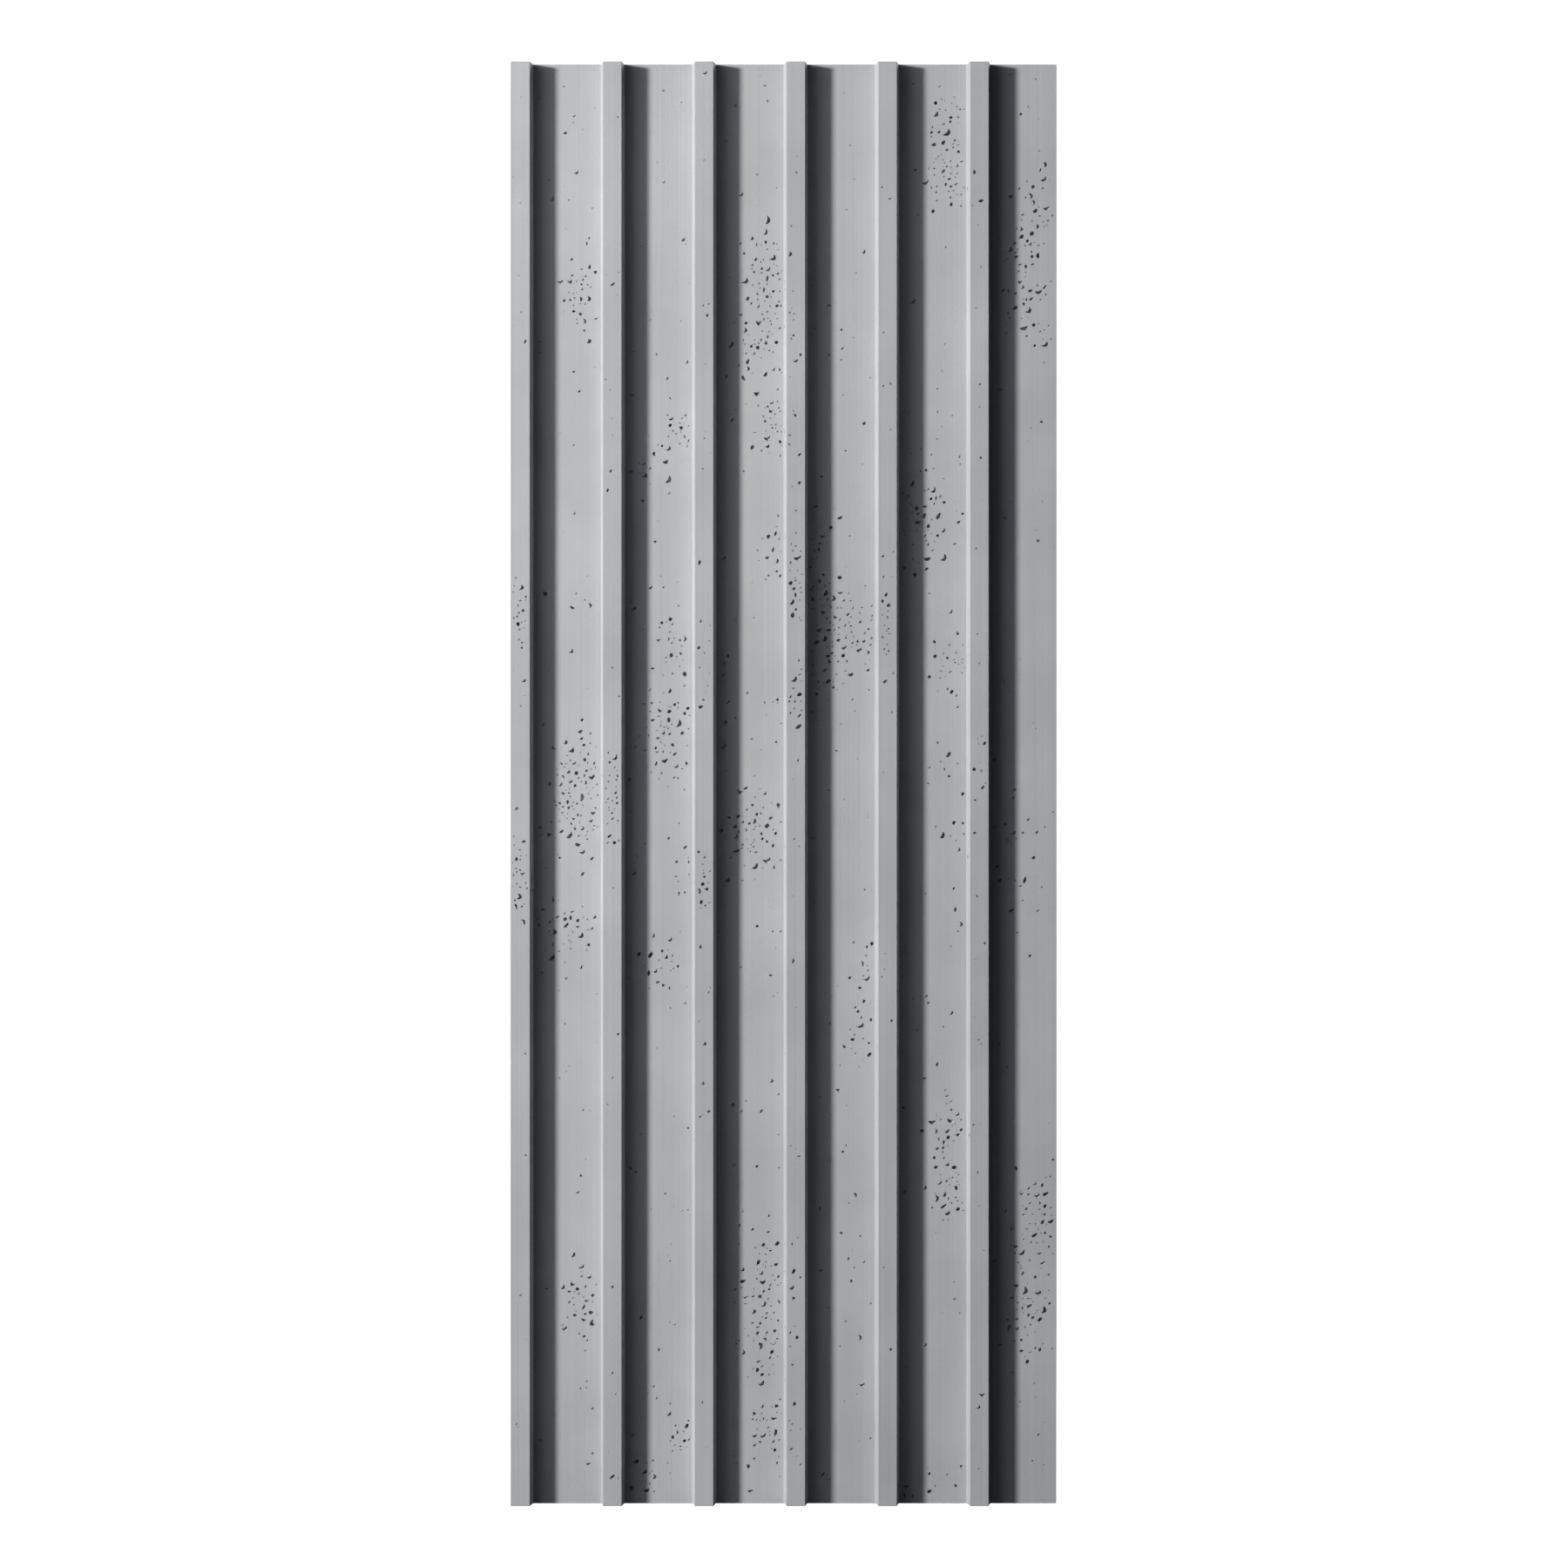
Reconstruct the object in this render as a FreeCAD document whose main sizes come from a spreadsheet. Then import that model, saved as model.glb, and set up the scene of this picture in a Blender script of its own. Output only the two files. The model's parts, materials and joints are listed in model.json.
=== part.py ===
import FreeCAD, Part
import os
import re

import Sketcher

# A ribbed architectural-concrete wall panel, hung on two wall rails by four hook hangers.
# +X is to the right as seen from the front, -Y is the front, +Y is the wall side, +Z is up.
# X = 0 is the panel's centre line, Y = 0 is the back face of the concrete, and Z = 0 is the
# top edge of the upper wall rail, on which both levelling screws stand.

DIMENSIONS = {
    # the casting: a flat slab with ribs in front of it
    "panel_height": 1200.0,
    "rib_pitch": 76.2,
    "rib_count": 6,
    "first_rib_inset": 8.4,  # centre of the edge rib, from the panel's left edge
    "last_gap": 65.0,  # from the last rib's centre to the panel's right edge
    "slab_thickness": 20.0,
    "rib_depth": 16.0,
    "rib_face": 15.6,
    "rib_root": 19.7,  # the ribs taper, so that the casting leaves its mould
    "arris": 0.4,
    "root_fillet": 0.4,
    "end_arris": 0.4,
    # where the hangers are
    "fixing_inset": 220.0,  # hanger bolts, from the panel's top and bottom edges
    "bolt_over_rail": 25.0,
    # textile reinforcement: flat rovings in a grid
    "grid_row_pitch": 76.0,
    "grid_row_count": 16,
    "grid_end_cover": 28.5,
    "grid_side_cover": 6.0,
    "roving_width": 3.0,
    "roving_thickness": 1.2,
    "grid_depth": 6.8,  # from the back face to the grid
    # a bar in each rib
    "bar_radius": 2.0,
    "bar_end_cover": 20.0,
    "bar_front_cover": 6.0,
    # cast-in threaded sockets, each with a cross pin through its tail
    "socket_radius": 6.5,
    "socket_length": 19.0,
    "socket_bore_depth": 11.0,
    "pin_radius": 2.0,
    "pin_length": 40.0,
    "pin_depth": 14.0,
    # bolts, washers and isolator pads
    "bolt_radius": 3.95,
    "bolt_length": 16.0,
    "bolt_head_height": 5.3,
    "bolt_head_flats": 13.0,
    "bolt_hole_radius": 4.5,
    "washer_radius": 8.0,
    "washer_hole_radius": 4.2,
    "washer_thickness": 1.6,
    "pad_thickness": 2.0,
    "thread_play": 0.05,
    # hook hangers, cut from one aluminium extrusion
    "hanger_width": 60.0,
    "hanger_wall": 4.0,
    "hanger_web": 8.0,
    "hanger_slot": 9.0,
    "hanger_above_rail": 36.0,
    "hanger_below_rail": 23.0,
    "hanger_lead_in": 2.0,
    "hanger_inner_radius": 0.6,
    "hanger_outer_radius": 2.5,
    "stop_hole_radius": 2.1,
    "stop_hole_drop": 12.0,  # under the top edge of the rail
    # levelling screws and their lock nuts
    "screw_radius": 3.0,
    "screw_length": 25.0,
    "screw_offset": 18.0,  # to the right of the hanger bolt
    "screw_from_plate": 5.2,
    "screw_stand": 5.0,  # how far the screw reaches under the hanger's web at rest
    "screw_point": 0.8,
    "screw_key_flats": 3.0,
    "screw_key_depth": 3.5,
    "nut_flats": 10.0,
    "nut_height": 3.2,
}
FORMULAS = {
    "panel_width": "first_rib_inset + (rib_count - 1) * rib_pitch + last_gap",
    "panel_left": "-panel_width / 2",
    "panel_right": "panel_width / 2",
    "panel_top": "fixing_inset + bolt_over_rail",
    "panel_bottom": "panel_top - panel_height",
    "slab_front": "-slab_thickness",
    "rib_front": "-slab_thickness - rib_depth",
    "first_rib": "panel_left + first_rib_inset",
    "last_rib": "first_rib + (rib_count - 1) * rib_pitch",
    "left_fixing": "first_rib + rib_pitch",
    "right_fixing": "last_rib",
    "upper_rail": "0",
    "lower_rail": "panel_bottom + fixing_inset - bolt_over_rail",
    "grid_first_column": "first_rib + rib_pitch / 2",
    "plate_back": "pad_thickness + hanger_wall",
    "lip_front": "plate_back + hanger_slot",
    "hanger_back": "lip_front + hanger_wall",
    "web_top": "screw_stand + hanger_web",
    "screw_depth": "plate_back + screw_from_plate",
}
HANGING = [(level, side) for level in ("upper", "lower") for side in ("left", "right")]

doc = FreeCAD.newDocument("ribbed_wall_panel")
sheet = doc.addObject("Spreadsheet::Sheet", "sizes")
for row, (alias, value) in enumerate((DIMENSIONS | FORMULAS).items(), 1):
    sheet.set(f"A{row}", alias)
    sheet.set(f"B{row}", str(value) if alias in DIMENSIONS else "=" + value)
    sheet.setAlias(f"B{row}", alias)
doc.recompute()


def with_sheet(formula):
    """The same formula with each alias named as the sheet's; a function such as cos( stays."""
    return re.sub(r"[a-z]\w*\b(?!\()", r"sizes.\g<0>", formula)


working = doc.addObject("Spreadsheet::Sheet", "working")


def number(formula):
    """The value of a formula of the sheet's aliases, worked out in a cell of another sheet."""
    working.set("A1", "=" + with_sheet(formula))
    working.recompute()
    return float(working.get("A1"))


def tie(thing, **formulas):
    """Binds properties to formulas of the sheet's aliases; x, y and z are the object's place."""
    for name, formula in formulas.items():
        path = "Placement.Base." + name if name in ("x", "y", "z") else name
        thing.setExpression(path, with_sheet(formula))
    return thing


def new(kind, name, turn=None, **formulas):
    """A document object with its sizes and place bound, and turned (axis, degrees)."""
    thing = doc.addObject(kind, name)
    if turn:
        thing.Placement.Rotation = FreeCAD.Rotation(FreeCAD.Vector(*turn[0]), turn[1])
    return tie(thing, **formulas)


BACKWARD = ((1, 0, 0), -90)  # turns +Z to +Y, the wall side
FORWARD = ((1, 0, 0), 90)  # turns +Z to -Y, the front
SIDEWAYS = ((0, 1, 0), 90)  # turns +Z to +X


def body(name):
    return doc.addObject("PartDesign::Body", name)


def plane(owner, role):
    return next(f for f in owner.Origin.OriginFeatures if f.Role == role)


def sketch_on(owner, role, name, offset="0"):
    """A sketch on one of a body's own origin planes, moved along the plane's normal."""
    drawn = owner.newObject("Sketcher::SketchObject", name)
    drawn.AttachmentSupport = [(plane(owner, role), "")]
    drawn.MapMode = "FlatFace"
    drawn.setExpression("AttachmentOffset.Base.z", with_sheet(offset))
    return drawn


def place_point(drawn, item, end, x, y):
    for kind, formula in (("DistanceX", x), ("DistanceY", y)):
        at = drawn.addConstraint(Sketcher.Constraint(kind, -1, 1, item, end, number(formula)))
        tie(drawn, **{f"Constraints[{at}]": formula})


def outline(drawn, corners):
    """A closed outline of straight lines, with every corner bound to two formulas."""
    points = [FreeCAD.Vector(number(x), number(y), 0) for x, y in corners]
    count = len(points)
    lines = [
        drawn.addGeometry(Part.LineSegment(points[i], points[(i + 1) % count]), False) for i in range(count)
    ]
    for i, line in enumerate(lines):
        drawn.addConstraint(Sketcher.Constraint("Coincident", line, 2, lines[(i + 1) % count], 1))
        place_point(drawn, line, 1, *corners[i])


def circle(drawn, x, y, radius):
    centre = FreeCAD.Vector(number(x), number(y), 0)
    ring = drawn.addGeometry(Part.Circle(centre, FreeCAD.Vector(0, 0, 1), number(radius)), False)
    place_point(drawn, ring, 3, x, y)
    at = drawn.addConstraint(Sketcher.Constraint("Radius", ring, number(radius)))
    tie(drawn, **{f"Constraints[{at}]": radius})


def rectangle(left, low, right, high):
    return [(left, low), (right, low), (right, high), (left, high)]


def feature(owner, kind, name, profile=None, **settings):
    made = owner.newObject("PartDesign::" + kind, name)
    if profile is not None:
        made.Profile = profile
        profile.Visibility = False
    for key, item in settings.items():
        setattr(made, key, item)
    return made


def row_of(owner, name, original, axis, spread, count):
    """A linear pattern of one feature along one of the body's own axes."""
    made = feature(owner, "LinearPattern", name, Originals=[original], Direction=(plane(owner, axis), [""]))
    tie(made, Length=spread, Occurrences=count)
    owner.Tip = made
    doc.recompute()
    return made


def rounded(owner, name, test, radius):
    """Fillets every edge of the body so far for which test(edge) is true."""
    doc.recompute()
    base = owner.Tip
    edges = [f"Edge{i}" for i, edge in enumerate(base.Shape.Edges, 1) if test(edge)]
    made = feature(owner, "Fillet", name, Base=(base, edges))
    tie(made, Radius=radius)
    owner.Tip = made
    doc.recompute()
    return made


def near(a, b):
    return abs(a - b) < 1e-4


def runs_along(edge, axis, length):
    """Whether a straight edge runs the whole length along an axis, 0 to 2 for X to Z."""
    box = edge.BoundBox
    return near((box.XLength, box.YLength, box.ZLength)[axis], length) and near(edge.Length, length)


# The concrete: the slab, the edge rib cut upright at the panel's edge, and the other ribs.
def make_casting_blank():
    casting = body("casting_blank")
    slab = sketch_on(casting, "XY_Plane", "slab_section", "panel_bottom")
    outline(slab, rectangle("panel_left", "slab_front", "panel_right", "0"))
    tie(feature(casting, "Pad", "slab", slab), Length="panel_height")

    edge_rib = sketch_on(casting, "XY_Plane", "edge_rib_section", "panel_bottom")
    edge_rib_corners = [
        ("panel_left", "slab_front"),
        ("panel_left", "rib_front"),
        ("first_rib + rib_face / 2", "rib_front"),
        ("first_rib + rib_root / 2", "slab_front"),
    ]
    outline(edge_rib, edge_rib_corners)
    tie(feature(casting, "Pad", "edge_rib", edge_rib), Length="panel_height")

    rib = sketch_on(casting, "XY_Plane", "rib_section", "panel_bottom")
    rib_corners = [
        ("first_rib + rib_pitch - rib_root / 2", "slab_front"),
        ("first_rib + rib_pitch - rib_face / 2", "rib_front"),
        ("first_rib + rib_pitch + rib_face / 2", "rib_front"),
        ("first_rib + rib_pitch + rib_root / 2", "slab_front"),
    ]
    outline(rib, rib_corners)
    second_rib = tie(feature(casting, "Pad", "rib", rib), Length="panel_height")
    row_of(casting, "ribs", second_rib, "X_Axis", "(rib_count - 2) * rib_pitch", "rib_count - 1")

    height, slab_front = number("panel_height"), number("slab_front")
    sides = (number("panel_left"), number("panel_right"))

    def is_upright(edge):
        return runs_along(edge, 2, height)

    def is_root(edge):
        box = edge.BoundBox
        return is_upright(edge) and near(box.YMin, slab_front) and not any(near(box.XMin, x) for x in sides)

    def is_arris(edge):
        box = edge.BoundBox
        drawn_corner = any(near(box.YMin, y) for y in (0, number("rib_front")))
        slab_corner = near(box.YMin, slab_front) and near(box.XMin, sides[1])
        return is_upright(edge) and (drawn_corner or slab_corner)

    def is_end(edge):
        return near(edge.BoundBox.ZLength, 0)

    rounded(casting, "root_fillets", is_root, "root_fillet")
    rounded(casting, "arrises", is_arris, "arris")
    rounded(casting, "end_arrises", is_end, "end_arris")
    return casting


# Alkali-resistant glass rovings, joined where they cross, with a window round each socket.
def make_grid():
    left = "grid_first_column - grid_side_cover"
    low = "panel_bottom + grid_end_cover"
    layer = {"Width": "roving_thickness", "y": "-grid_depth - roving_thickness"}
    rovings = []
    for i in range(int(number("rib_count"))):
        columns = {"x": f"grid_first_column + {i} * rib_pitch - roving_width / 2", "z": low}
        long = {"Length": "roving_width", "Height": "panel_height - 2 * grid_end_cover"}
        rovings.append(new("Part::Box", f"roving_column_{i + 1}", **long, **columns, **layer))
    for i in range(int(number("grid_row_count"))):
        rows = {"x": left, "z": f"{low} + {i} * grid_row_pitch"}
        across = {"Length": "panel_right - grid_side_cover - (" + left + ")", "Height": "roving_width"}
        rovings.append(new("Part::Box", f"roving_row_{i + 1}", **across, **rows, **layer))
    grid = doc.addObject("Part::MultiFuse", "reinforcement_grid")
    grid.Shapes = rovings
    grid.Refine = True
    return grid


# A stainless bar along the middle of each rib.
def make_rib_bars():
    bars = []
    for i in range(int(number("rib_count"))):
        bars.append(
            new(
                "Part::Cylinder",
                f"rib_bar_{i + 1}",
                Radius="bar_radius",
                Height="panel_height - 2 * bar_end_cover",
                x=f"first_rib + {i} * rib_pitch",
                y="rib_front + bar_front_cover + bar_radius",
                z="panel_bottom + bar_end_cover",
            )
        )
    return bars


def at_fixing(level, side):
    return {"x": f"{side}_fixing", "z": f"{level}_rail + bolt_over_rail"}


# A cross pin through each socket's tail, which keys it into the concrete.
def make_anchor_pin(level, side):
    place = {**at_fixing(level, side), "x": f"{side}_fixing - pin_length / 2"}
    return new(
        "Part::Cylinder",
        f"anchor_pin_{level}_{side}",
        SIDEWAYS,
        Radius="pin_radius",
        Height="pin_length",
        y="-pin_depth",
        **place,
    )


# A cast-in threaded socket, flush with the back face, drilled for its cross pin.
def make_socket(level, side, pin):
    at = at_fixing(level, side)
    where = f"{level}_{side}"
    blank = new(
        "Part::Cylinder",
        f"socket_blank_{where}",
        FORWARD,
        Radius="socket_radius",
        Height="socket_length",
        **at,
    )
    bore = new(
        "Part::Cylinder",
        f"socket_bore_{where}",
        FORWARD,
        Radius="bolt_radius + thread_play",
        Height="socket_bore_depth",
        **at,
    )
    drilled = doc.addObject("Part::Cut", f"socket_drilled_{where}")
    drilled.Base, drilled.Tool = blank, bore
    socket = doc.addObject("Part::Cut", f"threaded_socket_{where}")
    socket.Base, socket.Tool = drilled, pin
    return socket, blank


# The casting, with a close cavity round everything that is cast into it.
def make_casting(blank, inserts):
    cavities = doc.addObject("Part::MultiFuse", "cavities")
    cavities.Shapes = inserts
    casting = doc.addObject("Part::Cut", "panel_casting")
    casting.Base, casting.Tool = blank, cavities
    return casting


# A pad that keeps the aluminium off the damp concrete.
def make_pad(level, side):
    where = f"{level}_{side}"
    plate = new(
        "Part::Box",
        f"pad_plate_{where}",
        Length="hanger_width",
        Width="pad_thickness",
        Height="hanger_above_rail + hanger_below_rail",
        x=f"{side}_fixing - hanger_width / 2",
        z=f"{level}_rail - hanger_below_rail",
    )
    hole = new(
        "Part::Cylinder",
        f"pad_hole_{where}",
        BACKWARD,
        Radius="bolt_hole_radius",
        Height="pad_thickness",
        **at_fixing(level, side),
    )
    pad = doc.addObject("Part::Cut", f"isolator_pad_{where}")
    pad.Base, pad.Tool = plate, hole
    return pad


# A hook hanger: a plate against the pad, and a web and lip that hook over the rail.
def make_hanger(level, side):
    hanger = body(f"hanger_{level}_{side}")
    section = sketch_on(hanger, "YZ_Plane", f"hanger_section_{level}_{side}")
    corners = [
        ("pad_thickness", "-hanger_below_rail"),
        ("plate_back", "-hanger_below_rail"),
        ("plate_back", "screw_stand"),
        ("lip_front", "screw_stand"),
        ("lip_front", "hanger_lead_in - hanger_below_rail"),
        ("lip_front + hanger_lead_in", "-hanger_below_rail"),
        ("hanger_back", "-hanger_below_rail"),
        ("hanger_back", "web_top"),
        ("plate_back", "web_top"),
        ("plate_back", "hanger_above_rail"),
        ("pad_thickness", "hanger_above_rail"),
    ]
    outline(section, corners)
    extrusion = feature(hanger, "Pad", f"extrusion_{level}_{side}", section, SideType="Symmetric")
    tie(extrusion, Length="hanger_width")
    width, slot_top = number("hanger_width"), number("screw_stand")
    inner = [(number("plate_back"), slot_top), (number("lip_front"), slot_top)]
    outer = [(number("hanger_back"), number("web_top"))]

    def lies_at(places):
        def test(edge):
            box = edge.BoundBox
            at_corner = any(near(box.YMin, y) and near(box.ZMin, z) for y, z in places)
            return at_corner and runs_along(edge, 0, width)

        return test

    rounded(hanger, f"inner_radii_{level}_{side}", lies_at(inner), "hanger_inner_radius")
    rounded(hanger, f"outer_radius_{level}_{side}", lies_at(outer), "hanger_outer_radius")

    bolt_hole = sketch_on(hanger, "XZ_Plane", f"bolt_hole_{level}_{side}", "-plate_back")
    circle(bolt_hole, "0", "bolt_over_rail", "bolt_hole_radius")
    bored(hanger, f"bolt_bore_{level}_{side}", bolt_hole, "hanger_wall")
    if level == "upper":
        screw_hole = sketch_on(hanger, "XY_Plane", f"screw_hole_{level}_{side}", "web_top")
        circle(screw_hole, "screw_offset", "screw_depth", "screw_radius + thread_play")
        bored(hanger, f"screw_bore_{level}_{side}", screw_hole, "hanger_web")
    if (level, side) == ("upper", "left"):
        stop_hole = sketch_on(hanger, "XZ_Plane", f"stop_hole_{level}_{side}", "-hanger_back")
        circle(stop_hole, "-screw_offset", "-stop_hole_drop", "stop_hole_radius")
        bored(hanger, f"stop_bore_{level}_{side}", stop_hole, "hanger_wall")
    tie(hanger, x=f"{side}_fixing", z=f"{level}_rail")
    return hanger


def bored(owner, name, profile, depth):
    """A pocket that must take away material, whichever way its sketch faces."""
    doc.recompute()
    before = owner.Shape.Volume
    made = tie(feature(owner, "Pocket", name, profile), Length=depth)
    owner.Tip = made
    doc.recompute()
    if owner.Shape.Volume > before - 1:
        made.Reversed = True
        doc.recompute()
    if owner.Shape.Volume > before - 1:
        raise ValueError(name + " cuts nothing")


def hexagon(name, flats, height, turn=None, **place):
    prism = new("Part::Prism", name, turn, Circumradius=f"{flats} / 2 / cos(30)", Height=height, **place)
    prism.Polygon = 6
    return prism


# A hexagon bolt, through its washer, the hanger and the pad into the socket.
def make_bolt(level, side):
    where = f"{level}_{side}"
    at = at_fixing(level, side)
    seat = "plate_back + washer_thickness"
    shank = new(
        "Part::Cylinder",
        f"bolt_shank_{where}",
        FORWARD,
        Radius="bolt_radius",
        Height="bolt_length",
        y=seat,
        **at,
    )
    head = hexagon(f"bolt_head_{where}", "bolt_head_flats", "bolt_head_height", BACKWARD, y=seat, **at)
    bolt = doc.addObject("Part::Fuse", f"hanger_bolt_{where}")
    bolt.Base, bolt.Tool = shank, head
    return bolt


def make_washer(level, side):
    where = f"{level}_{side}"
    at = at_fixing(level, side) | {"y": "plate_back"}
    disc = new(
        "Part::Cylinder",
        f"washer_disc_{where}",
        BACKWARD,
        Radius="washer_radius",
        Height="washer_thickness",
        **at,
    )
    hole = new(
        "Part::Cylinder",
        f"washer_hole_{where}",
        BACKWARD,
        Radius="washer_hole_radius",
        Height="washer_thickness",
        **at,
    )
    washer = doc.addObject("Part::Cut", f"washer_{where}")
    washer.Base, washer.Tool = disc, hole
    return washer


def at_screw(side):
    return {"x": f"{side}_fixing + screw_offset", "y": "screw_depth"}


# A grub screw with a chamfered point, which stands on the rail and sets the panel's height.
def make_levelling_screw(side):
    at = at_screw(side)
    shank = new(
        "Part::Cylinder",
        f"screw_shank_{side}",
        Radius="screw_radius",
        Height="screw_length - screw_point",
        z="screw_point",
        **at,
    )
    point = new(
        "Part::Cone",
        f"screw_point_{side}",
        Radius1="screw_radius - screw_point",
        Radius2="screw_radius",
        Height="screw_point",
        **at,
    )
    solid = doc.addObject("Part::Fuse", f"screw_solid_{side}")
    solid.Base, solid.Tool = shank, point
    key_floor = "screw_length - screw_key_depth"
    key = hexagon(f"screw_key_{side}", "screw_key_flats", "screw_key_depth", z=key_floor, **at)
    screw = doc.addObject("Part::Cut", f"levelling_screw_{side}")
    screw.Base, screw.Tool = solid, key
    return screw


def make_lock_nut(side):
    at = at_screw(side) | {"z": "web_top"}
    blank = hexagon(f"nut_blank_{side}", "nut_flats", "nut_height", **at)
    thread = new(
        "Part::Cylinder",
        f"nut_thread_{side}",
        Radius="screw_radius + thread_play",
        Height="nut_height",
        **at,
    )
    nut = doc.addObject("Part::Cut", f"lock_nut_{side}")
    nut.Base, nut.Tool = blank, thread
    return nut


grid = make_grid()
bars = make_rib_bars()
pins = {where: make_anchor_pin(*where) for where in HANGING}
sockets = {where: make_socket(*where, pins[where]) for where in HANGING}
inserts = [grid, *bars, *pins.values(), *(blank for _, blank in sockets.values())]
pieces = [make_casting(make_casting_blank(), inserts), grid, *bars, *pins.values()]
pieces += [socket for socket, _ in sockets.values()]
for make in (make_pad, make_hanger, make_washer, make_bolt):
    pieces += [make(*where) for where in HANGING]
for side in ("left", "right"):
    pieces += [make_levelling_screw(side), make_lock_nut(side)]
doc.recompute()

failed = [thing.Name for thing in doc.Objects if {"Invalid", "Error"} & set(thing.State)]
failed += [piece.Name for piece in pieces if piece.Shape.isNull() or not piece.Shape.isValid()]
if failed:
    raise ValueError(f"these objects failed: {failed}")
os.makedirs("parts", exist_ok=True)
for piece in pieces:
    piece.Label = piece.Name
    solids = len(piece.Shape.Solids)
    print(f"{piece.Label}: {solids} solid, {piece.Shape.Volume:.1f} mm3")
    piece.Shape.exportStep(f"parts/{piece.Label}.step")
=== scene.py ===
import json
import math
import random

import bmesh
import bpy
from mathutils import Matrix, Vector
from mathutils.bvhtree import BVHTree


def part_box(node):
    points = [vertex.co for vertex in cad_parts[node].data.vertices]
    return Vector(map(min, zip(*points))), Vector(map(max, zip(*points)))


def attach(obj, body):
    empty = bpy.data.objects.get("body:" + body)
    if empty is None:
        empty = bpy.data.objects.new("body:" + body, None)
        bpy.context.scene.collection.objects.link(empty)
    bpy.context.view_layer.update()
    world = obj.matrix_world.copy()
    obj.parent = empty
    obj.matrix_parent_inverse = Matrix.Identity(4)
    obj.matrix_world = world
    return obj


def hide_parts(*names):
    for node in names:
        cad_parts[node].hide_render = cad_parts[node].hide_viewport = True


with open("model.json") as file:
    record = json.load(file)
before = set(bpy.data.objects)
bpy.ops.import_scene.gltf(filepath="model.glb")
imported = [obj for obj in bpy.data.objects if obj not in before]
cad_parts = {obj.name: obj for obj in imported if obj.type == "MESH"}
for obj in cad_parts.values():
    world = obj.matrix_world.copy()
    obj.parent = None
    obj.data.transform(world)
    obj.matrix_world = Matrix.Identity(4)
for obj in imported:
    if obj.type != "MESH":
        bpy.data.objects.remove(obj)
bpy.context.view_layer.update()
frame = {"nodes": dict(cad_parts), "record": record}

scene = bpy.context.scene
mm = 0.001
weld = 0.002 * mm  # vertices nearer than this are one
panelLow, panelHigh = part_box("panel_casting")
panelMiddle = (panelLow + panelHigh) / 2
print("frame loaded")


def linear(hexColour):  # an sRGB hex value to the linear colour that shaders take
    parts = [int(hexColour[i : i + 2], 16) / 255 for i in (1, 3, 5)]
    return [c / 12.92 if c <= 0.04045 else ((c + 0.055) / 1.055) ** 2.4 for c in parts] + [1]


def addNode(tree, kind, settings=None, links=None):  # a link comes from a socket or a node's first one
    node = tree.nodes.new("ShaderNode" + kind)
    for name, value in (settings or {}).items():
        if name == "stops":  # places along a colour ramp, each with a grey or a hex colour
            for element, (position, colour) in zip(node.color_ramp.elements, value):
                element.position = position
                element.color = linear(colour) if isinstance(colour, str) else (colour, colour, colour, 1)
        elif isinstance(name, int) or name in node.inputs:
            node.inputs[name].default_value = value
        else:
            setattr(node, name, value)
    for name, source in (links or {}).items():
        socket = source if isinstance(source, bpy.types.NodeSocket) else source.outputs[0]
        tree.links.new(socket, node.inputs[name])
    return node


def newMaterial(name):
    material = bpy.data.materials.new(name)
    material.use_nodes = True
    tree = material.node_tree
    return material, tree, tree.nodes["Principled BSDF"]


# Self-compacting concrete cast in a smooth rubber mould: matt mid grey, with faint clouds,
# fine upright mould marks and pin holes, darkened with painted shade. The back is trowelled by hand, so
# it is rougher there.
concrete = {
    "clouds": [(0.3, "#A9AAAA"), (0.7, "#B4B5B5")],
    "dullness": [(0.3, 0.72), (0.7, 0.86)],
    "markTone": [(0.3, 0.91), (0.7, 1.0)],
    "bandTone": [(0.35, 0.975), (0.65, 1.0)],
    "strokeTone": [(0.3, 0.86), (0.65, 1.0)],
    # painted shade: the colour darkens to 0.45 times inside the pin holes, where shade would fall
    "paintedHoleShade": [(0.0, 1.0), (1.0, 0.45)],
    "holeSize": [(0.06, 1.0), (0.13, 0.0)],  # as a share of the way to the next hole
    "holePatches": [(0.52, 0.0), (0.62, 1.0)],
    "cloudsPerMetre": 9,
    "mouldMark": 1.1 * mm,  # the width of a mark
    "marksUp": 1.5,  # how often a mark changes in a metre of height
    "bandsPerMetre": (90, 90, 0.8),
    "patchesPerMetre": (22, 22, 16),
    "pinHoles": 2.6 * mm,  # from one to the next
    "sand": 0.5 * mm,
    "backSkin": 1.5 * mm,  # the back's look starts this deep
    "backStops": [(0.2, 0.0), (0.8, 1.0)],
    "stroke": 95 * mm,
    "strokeShape": 3.2,  # how many times longer than wide
    "strokeTurn": 0.5,
    "relief": {"sand": 0.25, "marks": 0.5, "holes": -2.0, "strokes": 14},
    "bump": {"Strength": 0.35, "Distance": 0.1 * mm},
    "gloss": {"IOR": 1.45, "Specular IOR Level": 0.3},
}


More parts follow.
